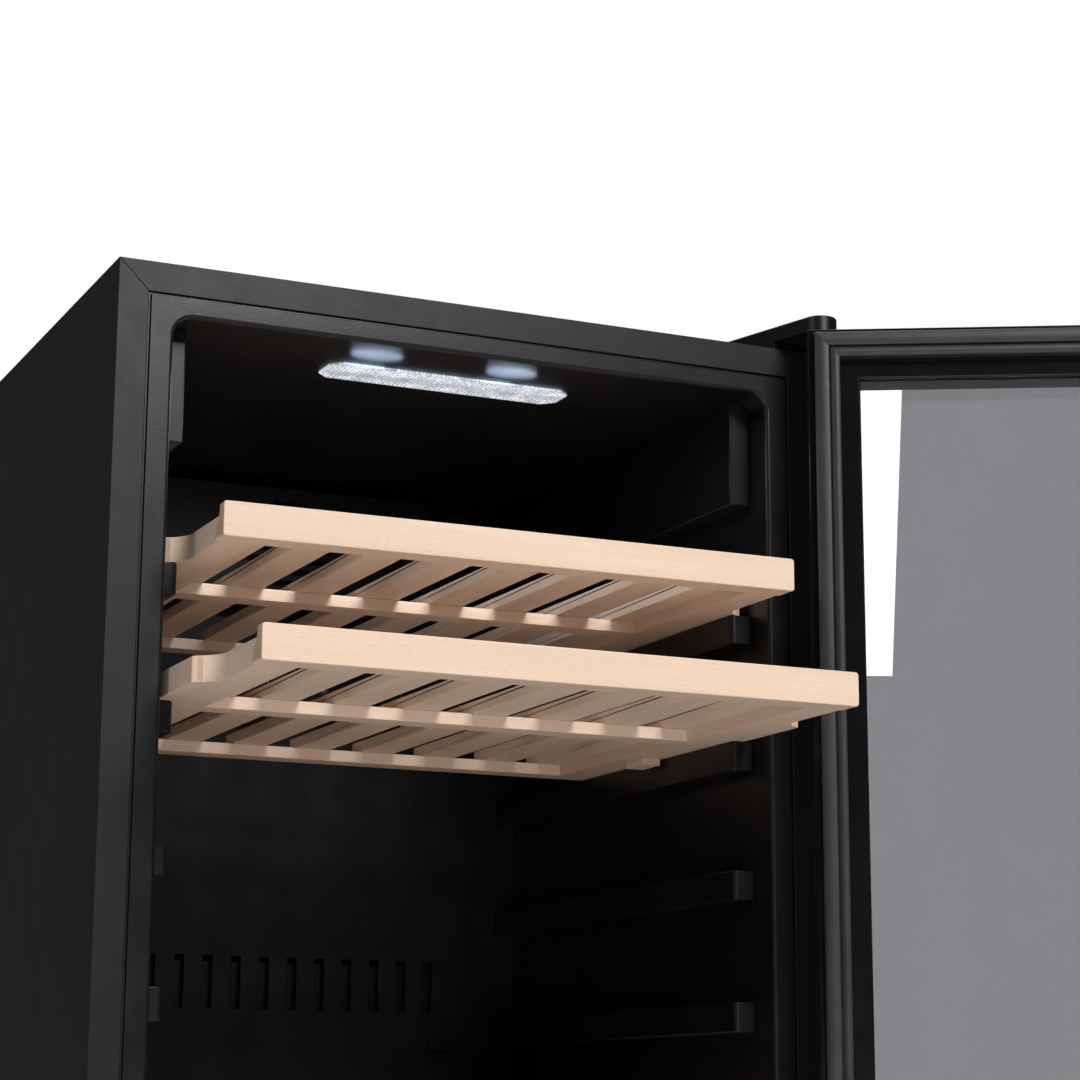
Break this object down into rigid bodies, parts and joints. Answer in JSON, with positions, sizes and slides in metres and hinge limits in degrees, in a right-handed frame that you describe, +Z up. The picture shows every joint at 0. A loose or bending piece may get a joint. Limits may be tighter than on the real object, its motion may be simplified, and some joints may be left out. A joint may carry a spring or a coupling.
{
  "type": "wine cooler",
  "caption": "Free-standing wine cooler with an open glass door, a black insulated cabinet and sliding beech bottle shelves.",
  "frame": {"origin": "on the floor under the middle of the cabinet", "axes": "+X right seen from the front, +Y to the rear, +Z up"},
  "size_m": [1.0221, 0.8468, 1.2875],
  "materials": {
    "black_paint": "satin",
    "galvanised_sheet": "satin",
    "liner_plastic": "matte",
    "foam": "matte",
    "lamp_plastic": "satin",
    "lamp_clear": "frosted",
    "circuit_board": "satin",
    "fan_plastic": "satin",
    "compressor_paint": "gloss",
    "rubber": "matte",
    "bright_steel": "satin",
    "door_plastic": "satin",
    "tinted_glass": "gloss",
    "clear_glass": "gloss",
    "spacer_metal": "satin",
    "gasket": "satin",
    "handle_metal": "satin",
    "panel_glass": "gloss",
    "beech": "satin"
  },
  "bodies": {
    "cabinet": {"air_fan_frame": "fan_plastic", "back_panel": "galvanised_sheet", "base_plate": "black_paint", "bottom_hinge_bracket": "black_paint", "charcoal_filter": "liner_plastic", "compartment_panel": "galvanised_sheet", "compressor": "compressor_paint", "compressor_mounts": "rubber", "condenser": "galvanised_sheet", "condenser_fan_frame": "fan_plastic", "control_board": "circuit_board", "control_box": "liner_plastic", "drain_pipe": "liner_plastic", "drain_tray": "liner_plastic", "evaporator": "galvanised_sheet", "fan_duct": "liner_plastic", "front_sill": "black_paint", "hinge_pins": "bright_steel", "hinge_screws": "bright_steel", "inner_liner": "liner_plastic", "insulation": "foam", "kick_plate": "black_paint", "lamp_diffuser": "lamp_clear", "lamp_housing": "lamp_plastic", "led_board": "circuit_board", "left_side_panel": "black_paint", "power_inlet": "liner_plastic", "rear_cover": "liner_plastic", "rear_feet": "liner_plastic", "rear_grille": "black_paint", "right_side_panel": "black_paint", "shelf_runners": "liner_plastic", "temperature_sensor": "liner_plastic", "top_hinge_bracket": "black_paint", "top_hinge_cover": "liner_plastic", "top_panel": "black_paint"},
    "door": {"door_frame": "door_plastic", "hinge_bushes": "bright_steel", "outer_glass": "tinted_glass", "inner_glass": "clear_glass", "glass_spacer": "spacer_metal", "door_gasket": "gasket", "door_handle": "handle_metal", "handle_posts": "handle_metal", "touch_panel": "panel_glass"},
    "shelf_1": {"shelf_1_front_board": "beech", "shelf_1_rack": "beech"},
    "shelf_2": {"shelf_2_front_board": "beech", "shelf_2_rack": "beech"},
    "shelf_3": {"shelf_3_front_board": "beech", "shelf_3_rack": "beech"},
    "shelf_4": {"shelf_4_front_board": "beech", "shelf_4_rack": "beech"},
    "shelf_5": {"shelf_5_front_board": "beech", "shelf_5_rack": "beech"},
    "air_fan": {"air_fan_rotor": "fan_plastic"},
    "condenser_fan": {"condenser_fan_rotor": "fan_plastic"},
    "foot_left": {"front_foot_left": "rubber"},
    "foot_right": {"front_foot_right": "rubber"}
  },
  "joints": [
    {"name": "door_hinge", "type": "hinge", "parent": "cabinet", "child": "door", "pos_m": [0.265, -0.295, 0], "axis": [0, 0, 1], "range_deg": [-151, 9]},
    {"name": "shelf_1_slide", "type": "slide", "parent": "cabinet", "child": "shelf_1", "axis": [0, -1, 0], "range_m": [-0.078, 0.182]},
    {"name": "shelf_2_slide", "type": "slide", "parent": "cabinet", "child": "shelf_2", "axis": [0, -1, 0], "range_m": [-0.164, 0.096]},
    {"name": "shelf_3_slide", "type": "slide", "parent": "cabinet", "child": "shelf_3", "axis": [0, -1, 0], "range_m": [0, 0.26]},
    {"name": "shelf_4_slide", "type": "slide", "parent": "cabinet", "child": "shelf_4", "axis": [0, -1, 0], "range_m": [0, 0.26]},
    {"name": "shelf_5_slide", "type": "slide", "parent": "cabinet", "child": "shelf_5", "axis": [0, -1, 0], "range_m": [0, 0.26]},
    {"name": "air_fan_spin", "type": "hinge", "parent": "cabinet", "child": "air_fan", "pos_m": [0, 0.184, 1.175], "axis": [0, 1, 0], "continuous": true},
    {"name": "condenser_fan_spin", "type": "hinge", "parent": "cabinet", "child": "condenser_fan", "pos_m": [0.035, 0.155, 0.11], "axis": [1, 0, 0], "continuous": true},
    {"name": "foot_left_screw", "type": "slide", "parent": "cabinet", "child": "foot_left", "axis": [0, 0, -1], "range_m": [0, 0.012]},
    {"name": "foot_right_screw", "type": "slide", "parent": "cabinet", "child": "foot_right", "axis": [0, 0, -1], "range_m": [0, 0.012]}
  ],
  "couplings": [
    {"joint": "shelf_1_slide", "follows": "door_hinge", "m_per_rad": 0.0296},
    {"joint": "shelf_2_slide", "follows": "door_hinge", "m_per_rad": 0.06223}
  ]
}
